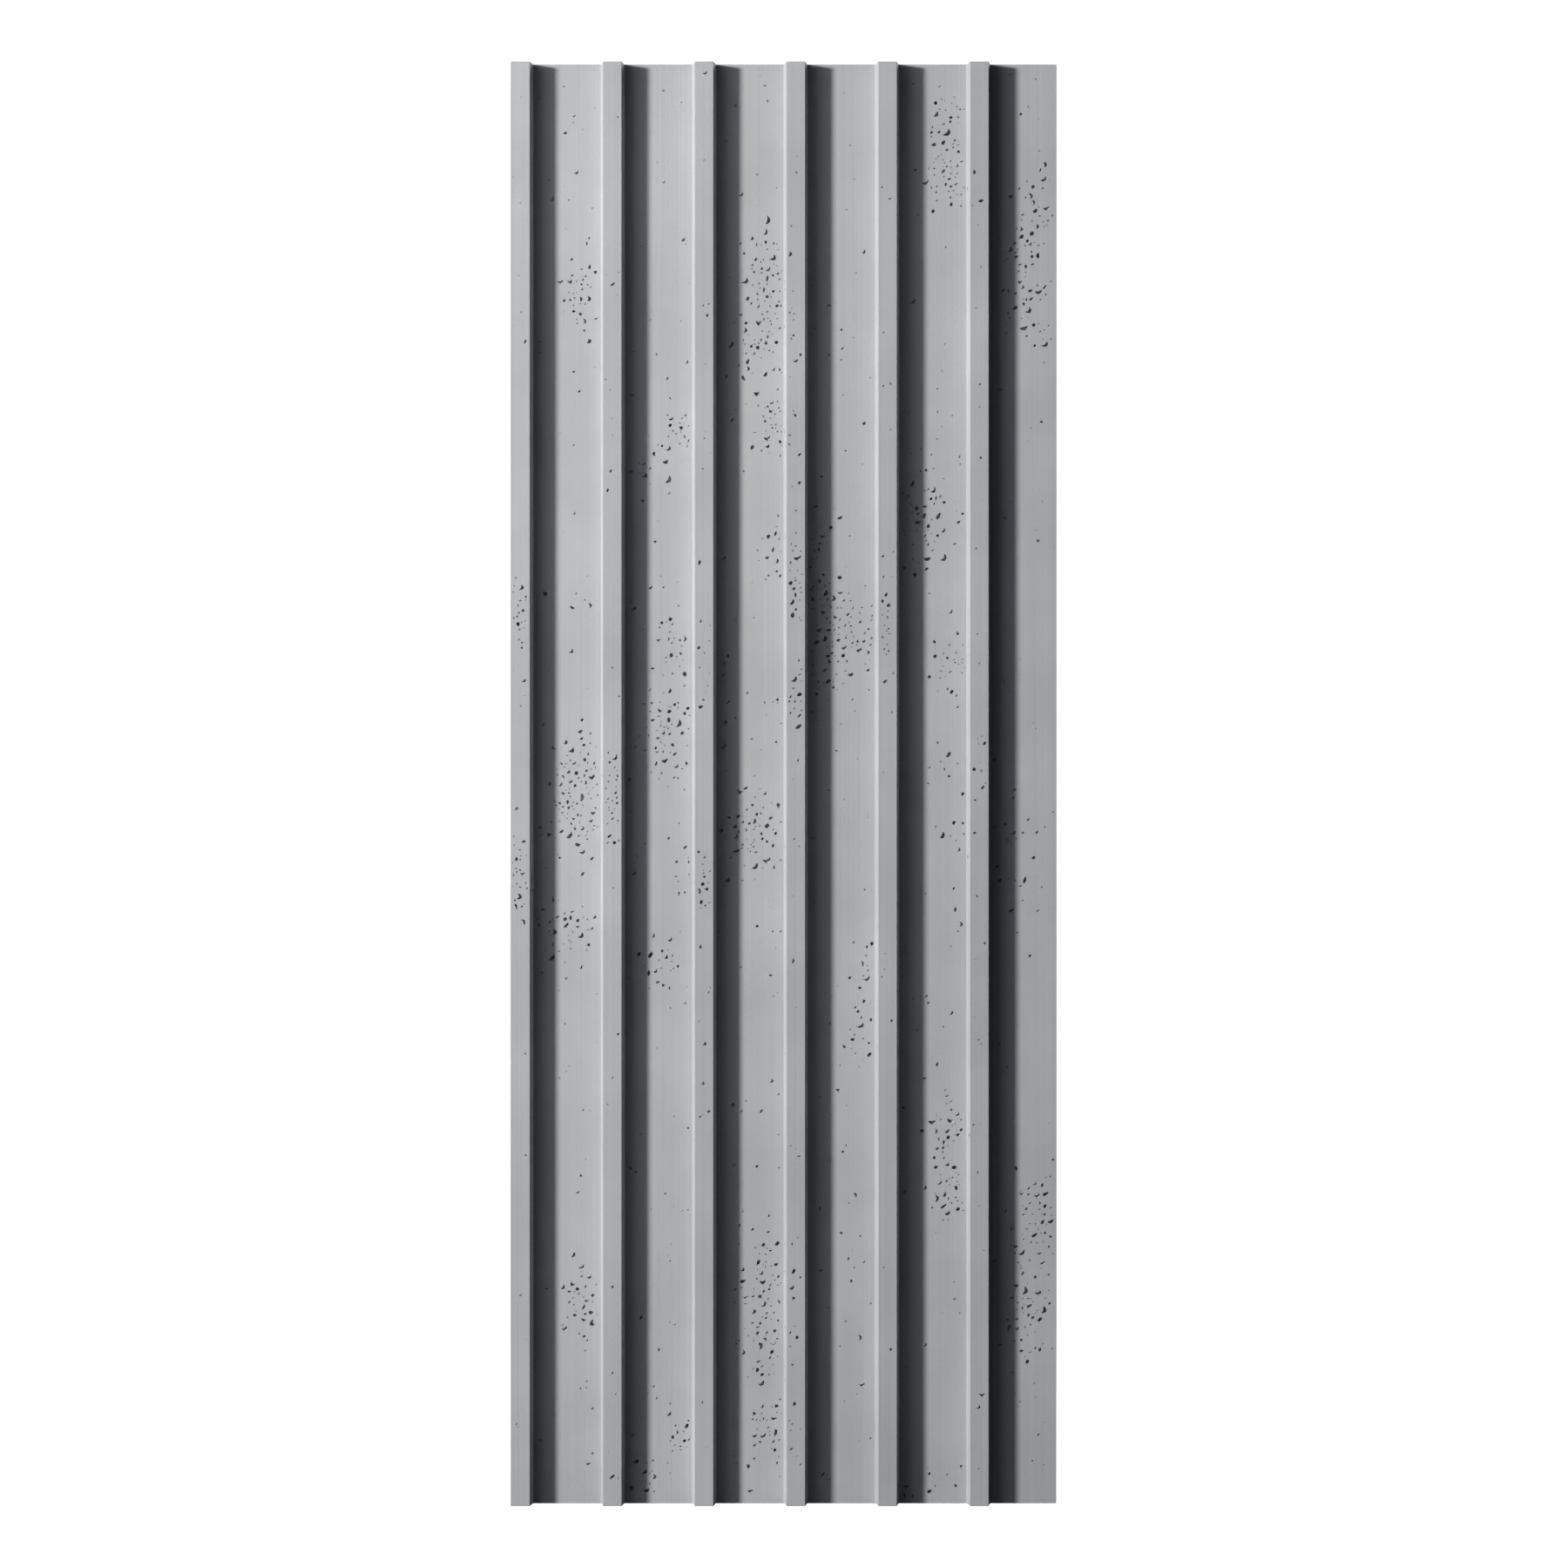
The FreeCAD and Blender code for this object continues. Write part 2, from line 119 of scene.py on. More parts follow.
def castConcrete():
    material, tree, shader = newMaterial("castConcrete")
    place = addNode(tree, "TexCoord").outputs["Object"]
    across, stroke = 1 / concrete["mouldMark"], concrete["stroke"]
    patterns = {  # each one's repeats in a metre along X, Y and Z, and its noise
        "clouds": ([concrete["cloudsPerMetre"]] * 3, {"Detail": 5, "Roughness": 0.6}),
        "marks": ((across, across, concrete["marksUp"]), {"Detail": 3, "Roughness": 0.7}),
        "bands": (concrete["bandsPerMetre"], {"Detail": 2}),
        "patches": (concrete["patchesPerMetre"], {"Detail": 2}),
        "sand": ([1 / concrete["sand"]] * 3, {"Detail": 2}),
        "strokes": (
            (1 / stroke, 1, concrete["strokeShape"] / stroke),
            {"Detail": 6, "Roughness": 0.62, "Distortion": 1.6},
        ),
    }
    noise = {}
    for name, (scale, settings) in patterns.items():
        turn = (0, concrete["strokeTurn"] if name == "strokes" else 0, 0)
        spread = addNode(tree, "Mapping", {"Scale": scale, "Rotation": turn}, {"Vector": place})
        noise[name] = addNode(tree, "TexNoise", {"Scale": 1, **settings}, {"Vector": spread})

    # pin holes, in patches only: one mask for their dents in the bump and for the painted shade in their
    # colour
    spread = addNode(tree, "Mapping", {"Scale": [1 / concrete["pinHoles"]] * 3}, {"Vector": place})
    cells = addNode(tree, "TexVoronoi", {"Scale": 1, "Randomness": 1}, {"Vector": spread})
    small = addNode(tree, "ValToRGB", {"stops": concrete["holeSize"]}, {"Fac": cells.outputs["Distance"]})
    where = addNode(tree, "ValToRGB", {"stops": concrete["holePatches"]}, {"Fac": noise["patches"]})
    holes = addNode(tree, "Math", {"operation": "MULTIPLY"}, {0: small, 1: where})

    # nought in front of the back face's skin and one on it
    spread = addNode(tree, "Mapping", {"Scale": [1 / concrete["backSkin"]] * 3}, {"Vector": place})
    depth = addNode(tree, "SeparateXYZ", None, {"Vector": spread}).outputs["Y"]
    skin = addNode(tree, "Math", {"operation": "ADD", 1: 1}, {0: depth})
    onBack = addNode(tree, "ValToRGB", {"stops": concrete["backStops"]}, {"Fac": skin})

    toned = addNode(tree, "ValToRGB", {"stops": concrete["clouds"]}, {"Fac": noise["clouds"]}).outputs[0]
    tones = [
        ("markTone", noise["marks"], {}),
        ("bandTone", noise["bands"], {}),
        # painted shade inside the pin holes
        ("paintedHoleShade", holes, {}),
        ("strokeTone", noise["strokes"], {0: onBack}),
    ]
    for stops, source, only in tones:
        tone = addNode(tree, "ValToRGB", {"stops": concrete[stops]}, {"Fac": source})
        settings = {"data_type": "RGBA", "blend_type": "MULTIPLY", 0: 1}
        toned = addNode(tree, "Mix", settings, {6: toned, 7: tone, **only}).outputs[2]
    tree.links.new(toned, shader.inputs["Base Color"])
    rough = addNode(tree, "ValToRGB", {"stops": concrete["dullness"]}, {"Fac": noise["clouds"]})
    tree.links.new(rough.outputs[0], shader.inputs["Roughness"])
    for name, value in concrete["gloss"].items():
        shader.inputs[name].default_value = value

    scrape = addNode(tree, "Math", {"operation": "MULTIPLY"}, {0: noise["strokes"], 1: onBack})
    raised = {"sand": noise["sand"], "marks": noise["marks"], "holes": holes, "strokes": scrape}
    height = None
    for name, source in raised.items():
        times = {"operation": "MULTIPLY", 1: concrete["relief"][name]}
        part = addNode(tree, "Math", times, {0: source})
        height = addNode(tree, "Math", {"operation": "ADD"}, {0: height, 1: part}) if height else part
    bump = addNode(tree, "Bump", concrete["bump"], {"Height": height})
    tree.links.new(bump.outputs[0], shader.inputs["Normal"])
    return material


finishes = {
    # Mill-finish extruded aluminium: satin, with fine lines along the extrusion, which runs in X.
    "millAluminium": {
        "metallic": 1,
        "perMetre": (12, 1 / (0.4 * mm), 1 / (0.4 * mm)),
        "noise": {"Detail": 3, "Roughness": 0.7},
        "colours": [(0.25, "#B7B9BB"), (0.75, "#D3D5D6")],
        "roughness": [(0.25, 0.35), (0.75, 0.42)],
        "cloudsPerMetre": 60,  # the roughness varies more widely than the lines
        "bump": {"Strength": 0.3, "Distance": 0.04 * mm},
    },
    # Cold-headed A2 stainless steel: brighter than the aluminium, slightly mottled, smooth.
    "headedStainless": {
        "metallic": 1,
        "perMetre": [1 / (0.7 * mm)] * 3,
        "noise": {"Detail": 4},
        "colours": [(0.25, "#B3B0AB"), (0.75, "#C2BFBA")],
        "roughness": [(0.25, 0.26), (0.75, 0.33)],
        "bump": {"Strength": 0.1, "Distance": 0.01 * mm},
    },
    # Moulded EPDM rubber: near black, dull, with a dusty grain.
    "mouldedRubber": {
        "metallic": 0,
        "perMetre": [1 / (0.6 * mm)] * 3,
        "noise": {"Detail": 4, "Roughness": 0.7},
        "colours": [(0.3, "#161617"), (0.75, "#2B2B2C")],
        "roughness": 0.82,
        "bump": {"Strength": 0.4, "Distance": 0.05 * mm},
    },
    # Resin-coated alkali-resistant glass roving: pale, slightly glossy, with filaments along it.
    "glassRoving": {
        "metallic": 0,
        "perMetre": (2500, 2500, 40),
        "noise": {"Detail": 3},
        "colours": [(0.3, "#C9CBBE"), (0.7, "#E4E5DA")],
        "roughness": 0.42,
        "bump": {"Strength": 0.3, "Distance": 0.05 * mm},
    },
}


def grained(name):  # a material with one pattern of grain, from its row in finishes
    finish = finishes[name]
    material, tree, shader = newMaterial(name)
    place = addNode(tree, "TexCoord").outputs["Object"]
    spread = addNode(tree, "Mapping", {"Scale": finish["perMetre"]}, {"Vector": place})
    grain = addNode(tree, "TexNoise", {"Scale": 1, **finish["noise"]}, {"Vector": spread})
    base = addNode(tree, "ValToRGB", {"stops": finish["colours"]}, {"Fac": grain})
    tree.links.new(base.outputs[0], shader.inputs["Base Color"])
    shader.inputs["Metallic"].default_value = finish["metallic"]
    if isinstance(finish["roughness"], float):
        shader.inputs["Roughness"].default_value = finish["roughness"]
    else:
        source = grain
        if "cloudsPerMetre" in finish:
            wide = {"Scale": finish["cloudsPerMetre"], "Detail": 3}
            source = addNode(tree, "TexNoise", wide, {"Vector": place})
        rough = addNode(tree, "ValToRGB", {"stops": finish["roughness"]}, {"Fac": source})
        tree.links.new(rough.outputs[0], shader.inputs["Roughness"])
    bump = addNode(tree, "Bump", finish["bump"], {"Height": grain})
    tree.links.new(bump.outputs[0], shader.inputs["Normal"])
    return material


slotMaterial = {
    "cast_concrete": castConcrete(),
    "extruded_aluminium": grained("millAluminium"),
    "stainless_steel": grained("headedStainless"),
    "pad_rubber": grained("mouldedRubber"),
    "glass_textile": grained("glassRoving"),
}
for entry in frame["record"]["subparts"]:
    node = frame["nodes"][entry["node"]]
    node.data.materials.clear()
    node.data.materials.append(slotMaterial[entry["material_slot"]])
print("materials made")

pores = {
    "seed": 11,
    "repeat": 841 * mm,  # the mould's pattern of clusters comes again this far down
    "clustersUp": 620 * mm,  # no cluster's middle is further from the panel's
    "single": 900,  # tries at pores scattered between the clusters
    "singleUp": 600 * mm,
    "singleSize": 0.7,  # beside the size of one in a cluster
    "crowd": 4.0,  # how many more pores are tried for than each cluster's count
    "spread": 0.85,  # the scatter of a cluster, as a share of its half sizes
    "lastUp": 594 * mm,  # no pore is further from the panel's middle than this
    "width": (1.0 * mm, 3.5 * mm),
    "smallness": 1.7,  # above one, small pores are commoner
    "stretch": (1.0, 2.3),  # length beside width
    "deep": (0.7, 1.15),  # depth beside width
    "curved": (1.5, 0.9),  # a pore longer than the first, beside its width, bends up to the second
    "lean": (40, 35),  # degrees and their scatter: most lie up to the right
    "jitter": 0.22,  # how rough the walls are
    "sunk": 0.22,  # how deep the widest part is
    "rim": 0.6 * mm,  # flat face left round a pore
    "probe": 2 * mm,
    "step": 0.05 * mm,  # a face that drops by more isn't flat
    "plainUnder": 1.9 * mm,  # a narrower pore is a simpler shape
    "batch": 24,  # hollows made together
    "slice": 32 * mm,
    "ribPitch": 76.2 * mm,
    "grooveSlices": (0.32, 0.5, 0.68),  # upright cuts, as shares of the way to the next rib
    "snap": 0.0005 * mm,
    # clusters: right of and above the panel's middle, half width, half height, how many
    "clusters": [
        (137, 553, 9, 16, 16), (137, 507, 12, 16, 22), (210, 470, 14, 28, 22),
        (202, 405, 14, 26, 20), (-11, 420, 14, 28, 30), (-14, 375, 16, 26, 26),
        (-170, 408, 9, 16, 16), (-10, 303, 13, 16, 20), (-87, 296, 8, 12, 8),
        (-116, 260, 10, 12, 8), (116, 224, 16, 26, 26), (14, 180, 15, 28, 34),
        (43, 130, 15, 22, 36), (83, 126, 12, 20, 24), (-217, 144, 8, 16, 16),
        (-94, 115, 10, 14, 10), (141, 101, 10, 14, 12), (11, 75, 12, 14, 16),
        (-98, 36, 15, 22, 28), (-166, 14, 14, 18, 24), (-174, -22, 12, 22, 26),
        (-145, -22, 10, 18, 14), (-22, -44, 14, 20, 28), (-65, -87, 10, 20, 14),
        (-221, -87, 6, 24, 18), (-188, -120, 14, 14, 20), (-105, -156, 12, 12, 10),
        (72, -152, 10, 12, 6), (61, -210, 10, 14, 8), (-60, 100, 12, 60, 10),
        (150, -20, 14, 60, 8), (187, -60, 14, 60, 8),
    ],
}


def mergedCopy(node):  # a copy of a node's loose triangles, joined up
    bm = bmesh.new()
    bm.from_mesh(frame["nodes"][node].data)
    bmesh.ops.remove_doubles(bm, verts=bm.verts, dist=weld)
    return bm


def meshFrom(bm, name):
    mesh = bpy.data.meshes.new(name)
    bm.to_mesh(mesh)
    bm.free()
    return mesh


def addPiece(name, mesh, slotName, body, node):
    piece = bpy.data.objects.new(name, mesh)
    scene.collection.objects.link(piece)
    mesh.materials.clear()
    mesh.materials.append(slotMaterial[slotName])
    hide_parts(node)
    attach(piece, body)
    return piece


def porePlaces(rng):  # (right of the middle, above it, share of the usual size)
    for across, up, halfWidth, halfHeight, count in pores["clusters"]:
        for turn in (0, 1):
            centre = up * mm - turn * pores["repeat"]
            tries = round(count * pores["crowd"]) if abs(centre) < pores["clustersUp"] else 0
            for _ in range(tries):
                x = rng.gauss(across, halfWidth * pores["spread"]) * mm
                z = centre + rng.gauss(0, halfHeight * pores["spread"]) * mm
                yield x, z, 1.0
    far = pores["singleUp"]
    for _ in range(pores["single"]):
        yield rng.uniform(panelLow.x, panelHigh.x), rng.uniform(-far, far), pores["singleSize"]


def poreSize(rng, share):
    low, high = pores["width"]
    longer, most = pores["curved"]
    width = (low + (high - low) * rng.random() ** pores["smallness"]) * share
    length = width * rng.uniform(*pores["stretch"])
    bend = rng.uniform(0, most) if length > longer * width else 0
    return {
        "width": width,
        "length": length,
        "depth": width * rng.uniform(*pores["deep"]),
        "bend": bend,
        "lean": math.radians(rng.gauss(*pores["lean"])),
        "reach": (max(length, width * (1 + bend)) / 2) * (1 + pores["jitter"]),
    }


def cutterShape(shapes, rng, size, spot, normal):  # a rough, often curved hollow, wider below its mouth
    face = normal.to_track_quat("Z", "Y").to_matrix().to_4x4()
    sunk = spot - normal * size["depth"] * pores["sunk"]
    place = Matrix.Translation(sunk) @ face @ Matrix.Rotation(size["lean"], 4, "Z")
    detail = 1 if size["width"] < pores["plainUnder"] else 2
    ball = bmesh.ops.create_icosphere(shapes, subdivisions=detail, radius=1)
    for vertex in ball["verts"]:
        grown = vertex.co * (1 + rng.uniform(-pores["jitter"], pores["jitter"]))
        across = grown.y * size["width"] / 2 + size["bend"] * grown.x**2 * size["width"]
        vertex.co = place @ Vector((grown.x * size["length"] / 2, across, grown.z * size["depth"]))


def flatRound(tree, spot, normal, reach):  # true where the face goes on past the pore on every side
    face = normal.to_track_quat("Z", "Y").to_matrix()
    for i in range(6):
        turn = math.tau * i / 6
        side = spot + face @ Vector((math.cos(turn), math.sin(turn), 0)) * (reach + pores["rim"])
        found, facing, _, _ = tree.ray_cast(side + normal * pores["probe"], -normal)
        if found is None or (found - side).length > pores["step"] or facing.dot(normal) < 0.999:
            return False
    return True


def findPores(tree, rng):  # (size, spot, normal) of each pore, none of them touching another
    used = []
    for x, z, share in porePlaces(rng):
        size = poreSize(rng, share)
        start = Vector((x, panelLow.y - 0.05, z + panelMiddle.z))
        spot, normal, _, _ = tree.ray_cast(start, Vector((0, 1, 0)))
        if spot is None or abs(spot.z - panelMiddle.z) > pores["lastUp"]:
            continue
        if any((spot - other).length < known["reach"] + size["reach"] for known, other, _ in used):
            continue
        if flatRound(tree, spot, normal, size["reach"]):
            used.append((size, spot, normal))
    print("pores:", len(used))
    return used


def cutPores(tree, rng):  # one mesh of every hollow, made a few at a time, which is quicker
    found, some, shapes = findPores(tree, rng), pores["batch"], bmesh.new()
    for i in range(0, len(found), some):
        few = bmesh.new()
        for size, spot, normal in found[i : i + some]:
            cutterShape(few, rng, size, spot, normal)
        mesh = meshFrom(few, "poreBatch")
        shapes.from_mesh(mesh)
        bpy.data.meshes.remove(mesh)
    return meshFrom(shapes, "poreShapes")


def outerShell(bm):  # drops the cavities round what is cast in, and joins flat triangles
    todo, best, bestTop = set(bm.verts), set(), -math.inf
    while todo:
        part, edge = set(), [todo.pop()]
        while edge:
            vertex = edge.pop()
            part.add(vertex)
            near = {e.other_vert(vertex) for e in vertex.link_edges} & todo
            todo -= near
            edge.extend(near)
        top = max(v.co.z for v in part)
        if top > bestTop:
            best, bestTop = part, top
    bmesh.ops.delete(bm, geom=[v for v in bm.verts if v not in best], context="VERTS")
    limit = math.radians(0.5)
    bmesh.ops.dissolve_limit(bm, angle_limit=limit, verts=bm.verts, edges=bm.edges)


def sliced(bm):  # splits the long faces, so that each pore is cut in a small one
    def cutAt(place, along):
        everything = bm.verts[:] + bm.edges[:] + bm.faces[:]
        bmesh.ops.bisect_plane(bm, geom=everything, dist=pores["snap"], plane_co=place, plane_no=along)

    step = pores["slice"]
    for i in range(1, math.ceil((panelHigh.z - panelLow.z) / step)):
        cutAt((0, 0, panelLow.z + i * step), (0, 0, 1))
    for i in range(1, 7):
        low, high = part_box(f"rib_bar_{i}")
        for share in pores["grooveSlices"]:
            cutAt(((low.x + high.x) / 2 + share * pores["ribPitch"], 0, 0), (1, 0, 0))


def makeCasting():
    bm = mergedCopy("panel_casting")
    outerShell(bm)
    print("outer shell:", len(bm.faces), "faces")
    tree = BVHTree.FromBMesh(bm)
    sliced(bm)
    bmesh.ops.recalc_face_normals(bm, faces=bm.faces)
    openEdges = sum(1 for e in bm.edges if not e.is_manifold)
    print("sliced:", len(bm.faces), "faces,", openEdges, "open edges")
    piece = addPiece("castPanel", meshFrom(bm, "castPanel"), "cast_concrete", "panel", "panel_casting")
    cutter = bpy.data.objects.new("poreShapes", cutPores(tree, random.Random(pores["seed"])))
    scene.collection.objects.link(cutter)
    cut = piece.modifiers.new("pores", "BOOLEAN")
    cut.operation, cut.solver, cut.object = "DIFFERENCE", "MANIFOLD", cutter
    evaluated = piece.evaluated_get(bpy.context.evaluated_depsgraph_get())
    done = bpy.data.meshes.new_from_object(evaluated)
    piece.modifiers.clear()
    piece.data = done
    bpy.data.objects.remove(cutter)
    for polygon in done.polygons:
        polygon.use_smooth = False  # every large face is flat, and the pores are rough
    print("casting with pores:", sum(len(p.vertices) - 2 for p in done.polygons), "triangles")


makeCasting()

# the hardware on the back
fixings = {
    "bluntEdge": 0.35 * mm,  # the deburred edges of the cut aluminium
    "padEdge": 0.25 * mm,
    "sharpFrom": math.radians(40),  # an edge that turns by less isn't rounded
    "boltFlats": 13 * mm,
    "boltHead": 5.3 * mm,
    "boltFace": (5.8 * mm, 0.35 * mm),  # the round bearing face under the head: radius and height
    "boltRadius": 3.95 * mm,
    "boltPitch": 1.25 * mm,
    "boltPoint": 0.9 * mm,
    "washerHole": 4.2 * mm,  # a radius
    "washerEdge": 0.25 * mm,
    "nutFlats": 10 * mm,
    "nutHole": 3.05 * mm,  # a radius
    "nutMouth": 0.35 * mm,
    "screwPitch": 1 * mm,
    "screwPoint": 0.8 * mm,
    "keyFlats": 3 * mm,
    "keyDepth": 3.5 * mm,
    "headChamfer": 0.94,  # where a hexagon's chamfer starts, as a share of half its flats
    "threadDepth": 0.61,  # in pitches
    "threadFlanks": (0.2, 0.52, 0.66),  # in pitches: root's end, crest's start and crest's end
    "steps": 48,  # round each turned piece, a multiple of six so that corners fall on a step
    "snap": 0.0001 * mm,
}
alongY = Matrix.Rotation(math.radians(-90), 4, "X")  # turns a piece made along +Z


def softened(node, name, width):  # a copy of a CAD node with its sharp edges rounded off
    bm = mergedCopy(node)
    limit = math.radians(1)
    bmesh.ops.dissolve_limit(bm, angle_limit=limit, verts=bm.verts, edges=bm.edges)
    sharp = [e for e in bm.edges if e.is_manifold and e.calc_face_angle() > fixings["sharpFrom"]]
    bmesh.ops.bevel(
        bm, geom=sharp, offset=width, offset_type="OFFSET", affect="EDGES",
        segments=2, profile=0.5, material=-1, clamp_overlap=True,
    )
    return meshFrom(bm, name)


def atAngle(value, angle):
    return value(angle) if callable(value) else value


def hexagonRadius(flats):  # a function of the angle, with a corner on +X
    sixth = math.pi / 3
    return lambda angle: flats / 2 / math.cos(angle % sixth - sixth / 2)


def chamferedEdge(flats, level, side):  # the wavy edge where a 30 degree cone cuts a hexagon
    corner, start = hexagonRadius(flats), fixings["headChamfer"] * flats / 2
    return lambda angle: level - side * (corner(angle) - start) * math.tan(math.radians(30))


def newRing(result):  # the vertices and the loop of edges that an extrusion has made
    verts = {g for g in result["geom"] if isinstance(g, bmesh.types.BMVert)}
    edges = [g for g in result["geom"] if isinstance(g, bmesh.types.BMEdge)]
    return list(verts), [e for e in edges if set(e.verts) <= verts]


def turned(rings):  # a skin over rings; each radius and height is a number or follows the angle
    bm = bmesh.new()
    bmesh.ops.create_circle(bm, segments=fixings["steps"], radius=1)
    verts, loop = bm.verts[:], bm.edges[:]
    first = loop
    for i, (radius, height) in enumerate(rings):
        if i:
            verts, loop = newRing(bmesh.ops.extrude_edge_only(bm, edges=loop))
        for vertex in verts:
            angle = math.atan2(vertex.co.y, vertex.co.x)
            reach = atAngle(radius, angle)
            vertex.co = (reach * math.cos(angle), reach * math.sin(angle), atAngle(height, angle))
    if rings[0] == rings[-1]:
        bmesh.ops.remove_doubles(bm, verts=bm.verts, dist=weld)
    else:
        bmesh.ops.edgeloop_fill(bm, edges=first)
        bmesh.ops.edgeloop_fill(bm, edges=loop)
    bmesh.ops.recalc_face_normals(bm, faces=bm.faces)
    return bm


def threaded(outer, pitch, length, point, key=None):  # a rod with a helical thread, along +Z from 0
    bm = bmesh.new()
    root = outer - fixings["threadDepth"] * pitch
    rootEnd, crest, crestEnd = fixings["threadFlanks"]
    zigzag = [(0, root), (rootEnd, root), (crest, outer), (crestEnd, outer)]
    last = None
    for turn in range(-2, math.ceil(length / pitch) + 2):
        for share, radius in zigzag:
            here = bm.verts.new((radius, 0, (turn + share) * pitch))
            if last:
                bm.edges.new((last, here))
            last = here
    steps = fixings["steps"] // 2
    line = bm.verts[:] + bm.edges[:]
    bmesh.ops.spin(
        bm, geom=line, cent=(0, 0, 0), axis=(0, 0, 1), dvec=(0, 0, pitch / steps),
        angle=math.tau, steps=steps,
    )
    bmesh.ops.remove_doubles(bm, verts=bm.verts, dist=weld)
    for level, up in ((0, -1), (length, 1)):
        everything = bm.verts[:] + bm.edges[:] + bm.faces[:]
        bmesh.ops.bisect_plane(
            bm, geom=everything, dist=fixings["snap"], plane_co=(0, 0, level),
            plane_no=(0, 0, up), clear_outer=True,
        )
    for vertex in bm.verts:  # the points at both ends
        widest = outer - point + min(vertex.co.z, length - vertex.co.z)
        radius = vertex.co.xy.length
        if radius > widest:
            vertex.co.xy *= widest / radius
    rims = [e for e in bm.edges if e.is_boundary]
    top = [e for e in rims if e.verts[0].co.z > length / 2]
    bmesh.ops.edgeloop_fill(bm, edges=[e for e in rims if e not in top])
    if key:  # a hexagon socket in the top
        flats, depth = key
        level = Matrix.Translation((0, 0, length))
        corner = flats / 2 / math.cos(math.pi / 6)
        made = bmesh.ops.create_circle(bm, segments=6, radius=corner, matrix=level)
        mouth = list({e for v in made["verts"] for e in v.link_edges})
        bmesh.ops.bridge_loops(bm, edges=top + mouth)
        verts, top = newRing(bmesh.ops.extrude_edge_only(bm, edges=mouth))
        bmesh.ops.translate(bm, verts=verts, vec=(0, 0, -depth))
    bmesh.ops.edgeloop_fill(bm, edges=top)
    bmesh.ops.recalc_face_normals(bm, faces=bm.faces)
    return bm


def steelPiece(name, shells, place, body, node):  # shells joined and put in place
    whole = bmesh.new()
    for shell in shells:
        mesh = meshFrom(shell, "shell")
        whole.from_mesh(mesh)
        bpy.data.meshes.remove(mesh)
    whole.transform(place)
    mesh = meshFrom(whole, name)
    for polygon in mesh.polygons:
        polygon.use_smooth = True
    mesh.set_sharp_from_angle(angle=math.radians(30))
    addPiece(name, mesh, "stainless_steel", body, node)


def makeBolt(where, node):
    low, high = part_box(node)
    flats, head = fixings["boltFlats"], fixings["boltHead"]
    faceRadius, faceHeight = fixings["boltFace"]
    shank = (high.y - low.y) - head
    side = hexagonRadius(flats)
    rings = [
        (faceRadius, 0),
        (faceRadius, faceHeight),
        (side, faceHeight),
        (side, chamferedEdge(flats, head, 1)),
        (fixings["headChamfer"] * flats / 2, head),
    ]
    thread = threaded(fixings["boltRadius"], fixings["boltPitch"], shank, fixings["boltPoint"])
    thread.transform(Matrix.Translation((0, 0, -shank)))
    middle = (low + high) / 2
    place = Matrix.Translation((middle.x, high.y - head, middle.z)) @ alongY
    steelPiece("bolt" + where, [turned(rings), thread], place, "panel", node)


def makeWasher(where, node):
    low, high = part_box(node)
    middle, thick, edge = (low + high) / 2, high.y - low.y, fixings["washerEdge"]
    outer, hole = (high.x - low.x) / 2, fixings["washerHole"]
    rings = [
        (hole, 0), (outer - edge, 0), (outer, edge), (outer, thick - edge), (outer - edge, thick),
        (hole + edge, thick), (hole, thick - edge), (hole, 0),
    ]
    place = Matrix.Translation((middle.x, low.y, middle.z)) @ alongY
    steelPiece("washer" + where, [turned(rings)], place, "panel", node)


def makeLockNut(where, node):
    low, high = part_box(node)
    middle, flats, tall = (low + high) / 2, fixings["nutFlats"], high.z - low.z
    side, face = hexagonRadius(flats), fixings["headChamfer"] * flats / 2
    hole, mouth = fixings["nutHole"], fixings["nutMouth"]
    rings = [
        (hole, mouth), (hole + mouth, 0), (face, 0), (side, chamferedEdge(flats, 0, -1)),
        (side, chamferedEdge(flats, tall, 1)), (face, tall), (hole + mouth, tall), (hole, tall - mouth),
        (hole, mouth),
    ]
    place = Matrix.Translation((middle.x, middle.y, low.z))
    steelPiece("lockNut" + where, [turned(rings)], place, "panel", node)


def makeLevellingScrew(where, node, body):
    low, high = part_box(node)
    middle, radius = (low + high) / 2, (high.x - low.x) / 2
    key = (fixings["keyFlats"], fixings["keyDepth"])
    rod = threaded(radius, fixings["screwPitch"], high.z - low.z, fixings["screwPoint"], key)
    place = Matrix.Translation((middle.x, middle.y, low.z))
    steelPiece("levellingScrew" + where, [rod], place, body, node)


for level in ("upper", "lower"):
    for side in ("left", "right"):
        where, corner = level.title() + side.title(), f"_{level}_{side}"
        plate = softened("hanger" + corner, "hanger" + where, fixings["bluntEdge"])
        addPiece("hanger" + where, plate, "extruded_aluminium", "panel", "hanger" + corner)
        pad = softened("isolator_pad" + corner, "pad" + where, fixings["padEdge"])
        addPiece("pad" + where, pad, "pad_rubber", "panel", "isolator_pad" + corner)
        makeBolt(where, "hanger_bolt" + corner)
        makeWasher(where, "washer" + corner)
for side in ("left", "right"):
    makeLockNut(side.title(), "lock_nut_" + side)
    makeLevellingScrew(side.title(), "levelling_screw_" + side, "screw_" + side)
print("hardware made")

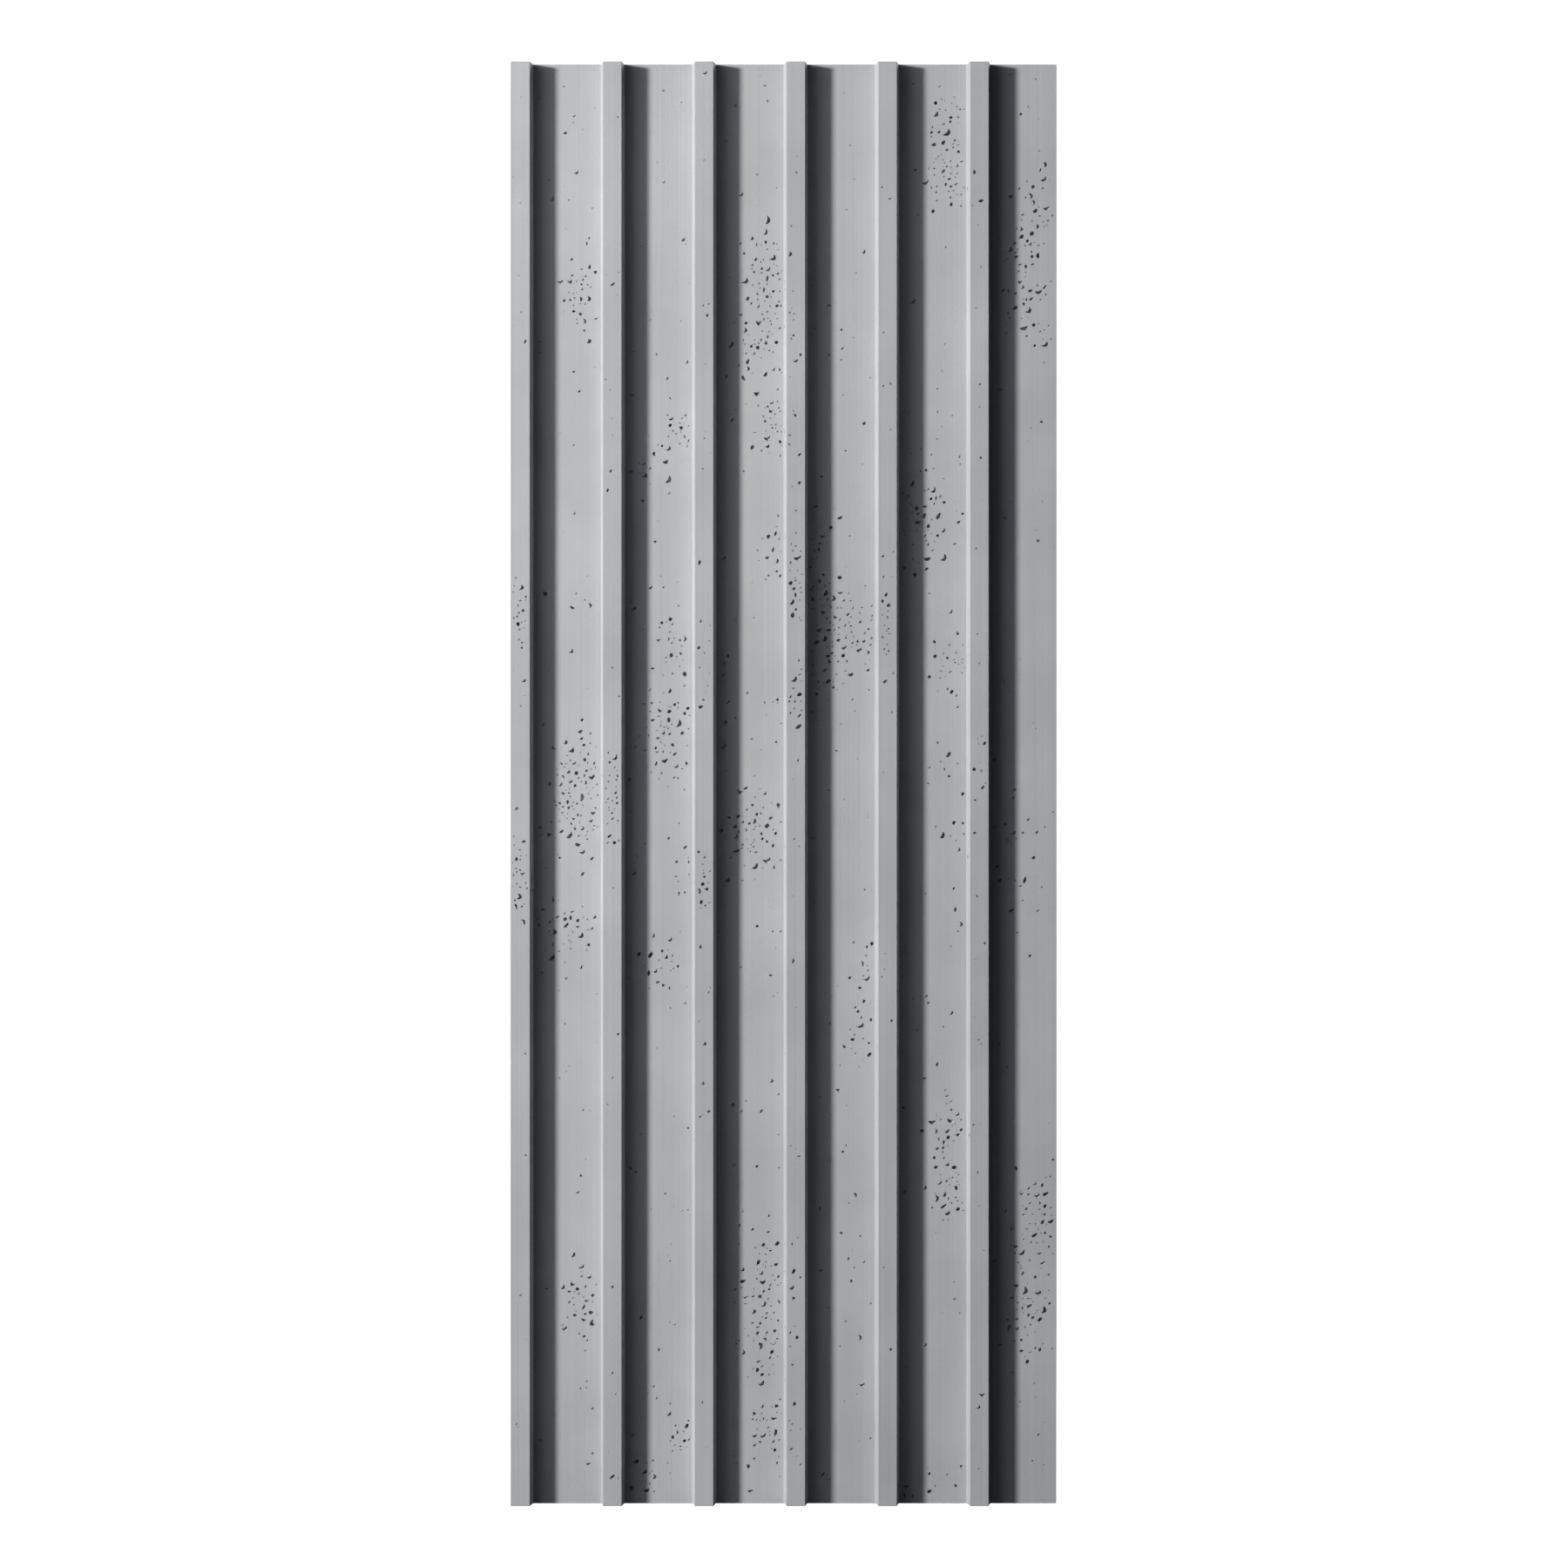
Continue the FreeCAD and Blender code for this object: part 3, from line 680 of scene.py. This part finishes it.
studio = {
    "keyTravel": (0.798, 0.545, -0.259),  # the way that the key light shines
    "keyAway": 3.8,  # metres from the panel's middle
    "key": {"watts": 216, "width": 0.48, "colour": "#FFFFFF"},
    "fills": {  # each stands this far from the panel's middle
        "frontFill": {"from": (-1.2, -3.2, 1.5), "watts": 4, "width": 2.5, "colour": "#E4ECFF"},
        "sideFill": {"from": (-1.3, -1.5, 0.9), "watts": 9, "width": 1.2, "colour": "#EEF2FF"},
        "backKey": {"from": (1.5, 2.6, 1.4), "watts": 92, "width": 1.8, "colour": "#FFFFFF"},
        "backFill": {"from": (-2.2, 2.4, 0.3), "watts": 58, "width": 3, "colour": "#FFFFFF"},
        "underFill": {  # behind the panel, so the front stays unlit, and aimed at its foot
            "from": (0, 0.718, -1.5), "aim": (0, 0, -0.6), "watts": 9, "width": 1.2, "colour": "#FFFFFF",
        },
    },
    "ambient": "#2E3034",
    "backdrop": 1.1,  # the strength of the white that the camera sees
    "floorDrop": 0.35,  # below the panel
    "floorReach": 40,
    "floor": {"Base Color": (0.9, 0.9, 0.9, 1), "Roughness": 0.9, "Emission Color": (1, 1, 1, 1)},
    "floorGlow": 1.0,
}


def addLight(name, place, light):
    lamp = bpy.data.lights.new(name, "AREA")
    lamp.shape, lamp.size, lamp.energy = "DISK", light["width"], light["watts"]
    lamp.color = linear(light["colour"])[:3]
    holder = bpy.data.objects.new(name, lamp)
    holder.location = panelMiddle + place
    aim = Vector(light.get("aim", (0, 0, 0)))
    holder.rotation_euler = (aim - place).to_track_quat("-Z", "Y").to_euler()
    scene.collection.objects.link(holder)


def makeStudio():
    addLight("key", Vector(studio["keyTravel"]).normalized() * -studio["keyAway"], studio["key"])
    for name, light in studio["fills"].items():
        addLight(name, Vector(light["from"]), light)
    world = bpy.data.worlds.new("studioRoom")
    scene.world = world
    world.use_nodes = True
    tree = world.node_tree
    dim = tree.nodes["Background"]
    dim.inputs["Color"].default_value = linear(studio["ambient"])
    white = addNode(tree, "Background", {"Color": (1, 1, 1, 1), "Strength": studio["backdrop"]})
    seen = addNode(tree, "LightPath").outputs["Is Camera Ray"]
    choice = addNode(tree, "MixShader", None, {0: seen, 1: dim, 2: white})
    tree.links.new(choice.outputs[0], tree.nodes["World Output"].inputs["Surface"])


def makeFloor():
    bm = bmesh.new()
    level = Matrix.Translation((0, 0, panelLow.z - studio["floorDrop"]))
    bmesh.ops.create_grid(bm, x_segments=1, y_segments=1, size=studio["floorReach"], matrix=level)
    mesh = meshFrom(bm, "floor")
    floor = bpy.data.objects.new("floor", mesh)
    scene.collection.objects.link(floor)
    material, _, shader = newMaterial("paleFloor")
    for name, value in studio["floor"].items():
        shader.inputs[name].default_value = value
    shader.inputs["Emission Strength"].default_value = studio["floorGlow"]
    mesh.materials.append(material)
    floor.visible_diffuse = floor.visible_glossy = False


lens = {
    "sensor": 36,  # mm
    "away": 3.774,  # metres in front of the ribs
    "frame": 1.3019,  # metres that the picture takes in at the ribs
}


def makeCamera():
    camera = bpy.data.cameras.new("frontCamera")
    camera.sensor_width = lens["sensor"]
    camera.lens = lens["sensor"] * lens["away"] / lens["frame"]
    holder = bpy.data.objects.new("frontCamera", camera)
    holder.location = (panelMiddle.x, panelLow.y - lens["away"], panelMiddle.z)
    holder.rotation_euler = (math.radians(90), 0, 0)
    scene.collection.objects.link(holder)
    scene.camera = holder


makeStudio()
makeFloor()
makeCamera()
scene.view_settings.view_transform = "Standard"
print("studio made")
